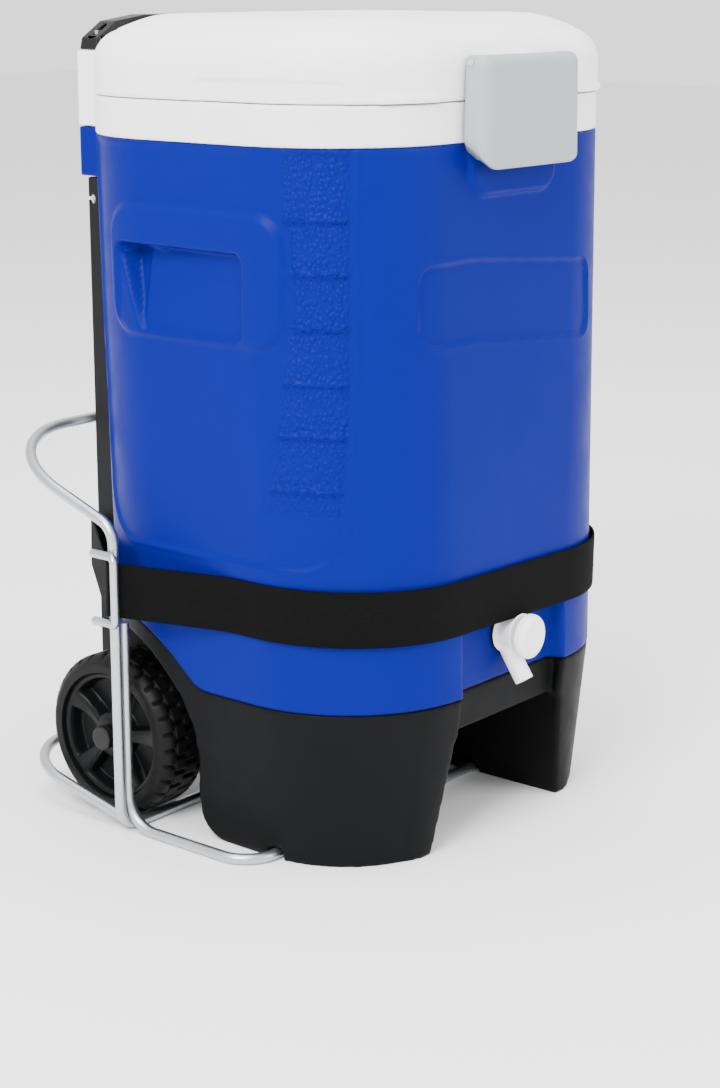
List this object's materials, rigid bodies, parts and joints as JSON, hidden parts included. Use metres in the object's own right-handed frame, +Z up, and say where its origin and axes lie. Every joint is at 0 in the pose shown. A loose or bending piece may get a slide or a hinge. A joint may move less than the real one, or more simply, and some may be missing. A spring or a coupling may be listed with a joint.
{
  "type": "wheeled drinks cooler",
  "caption": "Tall insulated drinks cooler with hinged latched lid, push-button spigot, footed wheeled base, telescoping handle and strapped-on wire rack.",
  "frame": {"origin": "on the floor at the middle of the whole cooler's length and width", "axes": "+Z up, -Y towards the spigot and latch, +X to the side on the viewer's right when facing the spigot; the wheels' axle runs along X"},
  "size_m": [0.3822, 0.346, 0.55],
  "materials": {
    "shell_blue": "fine grained moulded plastic",
    "foam": "rigid foam, hidden",
    "liner_white": "smooth food-safe plastic",
    "collar_white": "satin moulded plastic",
    "lid_white": "satin moulded plastic",
    "seal_rubber": "soft rubber",
    "latch_grey": "satin moulded plastic",
    "pin_steel": "drawn steel",
    "base_black": "fine grained moulded plastic",
    "hub_black": "satin moulded plastic",
    "tyre_black": "hard moulded tyre",
    "cap_black": "satin moulded plastic",
    "housing_black": "fine grained moulded plastic",
    "tube_aluminium": "satin drawn tube",
    "grip_black": "satin moulded plastic",
    "button_grey": "satin moulded plastic",
    "spring_steel": "drawn spring wire",
    "spigot_white": "smooth moulded plastic",
    "button_white": "smooth moulded plastic",
    "rack_steel": "satin plated wire",
    "strap_black": "woven webbing",
    "buckle_black": "satin moulded plastic"
  },
  "bodies": {
    "cooler": {"body_shell": "shell_blue", "insulation_foam": "foam", "inner_liner": "liner_white", "rim_collar": "collar_white", "hinge_pin": "pin_steel", "base_skirt": "base_black", "base_screws": "pin_steel", "housing_screws": "pin_steel", "axle": "pin_steel", "axle_caps": "cap_black", "axle_washers": "cap_black", "handle_housing": "housing_black", "spigot_body": "spigot_white", "spigot_gasket": "seal_rubber", "spigot_nut": "spigot_white", "spigot_inner_washer": "seal_rubber", "spigot_spring": "spring_steel", "rack_uprights": "rack_steel", "rack_hoop": "rack_steel", "rack_floor_loop": "rack_steel", "rack_tail_hoop": "rack_steel", "strap_keeper_left": "rack_steel", "strap_keeper_right": "rack_steel", "strap": "strap_black", "strap_buckle": "buckle_black"},
    "lid": {"lid_shell": "lid_white", "lid_liner": "liner_white", "lid_foam": "foam", "lid_gasket": "seal_rubber", "latch_pin": "pin_steel"},
    "latch": {"lid_latch": "latch_grey"},
    "handle": {"handle_tube_left": "tube_aluminium", "handle_tube_right": "tube_aluminium", "tube_plugs": "cap_black", "lock_pins": "pin_steel", "handle_grip": "grip_black", "spring_seats": "cap_black", "release_springs": "spring_steel"},
    "release": {"release_button": "button_grey", "release_yoke": "pin_steel"},
    "spigot_push": {"spigot_button": "button_white", "spigot_stem": "spigot_white", "spigot_seal": "seal_rubber"},
    "wheel_left": {"wheel_hub_left": "hub_black", "tyre_left": "tyre_black"},
    "wheel_right": {"wheel_hub_right": "hub_black", "tyre_right": "tyre_black"}
  },
  "joints": [
    {"name": "lid_hinge", "type": "hinge", "parent": "cooler", "child": "lid", "pos_m": [0, 0.13, 0.54], "axis": [-1, 0, 0], "range_deg": [0, 90]},
    {"name": "latch_pivot", "type": "hinge", "parent": "lid", "child": "latch", "pos_m": [0, -0.1525, 0.522], "axis": [-1, 0, 0], "range_deg": [0, 100]},
    {"name": "handle_slide", "type": "slide", "parent": "cooler", "child": "handle", "axis": [0, 0, 1], "range_m": [0, 0.3]},
    {"name": "release_press", "type": "slide", "parent": "handle", "child": "release", "axis": [0, 0, 1], "range_m": [0, 0.0035], "stiffness_N_per_m": 400, "springref_m": -0.002, "deforming": ["release_springs"]},
    {"name": "spigot_press", "type": "slide", "parent": "cooler", "child": "spigot_push", "axis": [0, 1, 0], "range_m": [0, 0.004], "stiffness_N_per_m": 500, "springref_m": -0.002, "deforming": ["spigot_spring"]},
    {"name": "wheel_left_spin", "type": "hinge", "parent": "cooler", "child": "wheel_left", "pos_m": [-0.138, 0.078, 0.058], "axis": [1, 0, 0], "continuous": true},
    {"name": "wheel_right_spin", "type": "hinge", "parent": "cooler", "child": "wheel_right", "pos_m": [0.138, 0.078, 0.058], "axis": [1, 0, 0], "continuous": true}
  ]
}
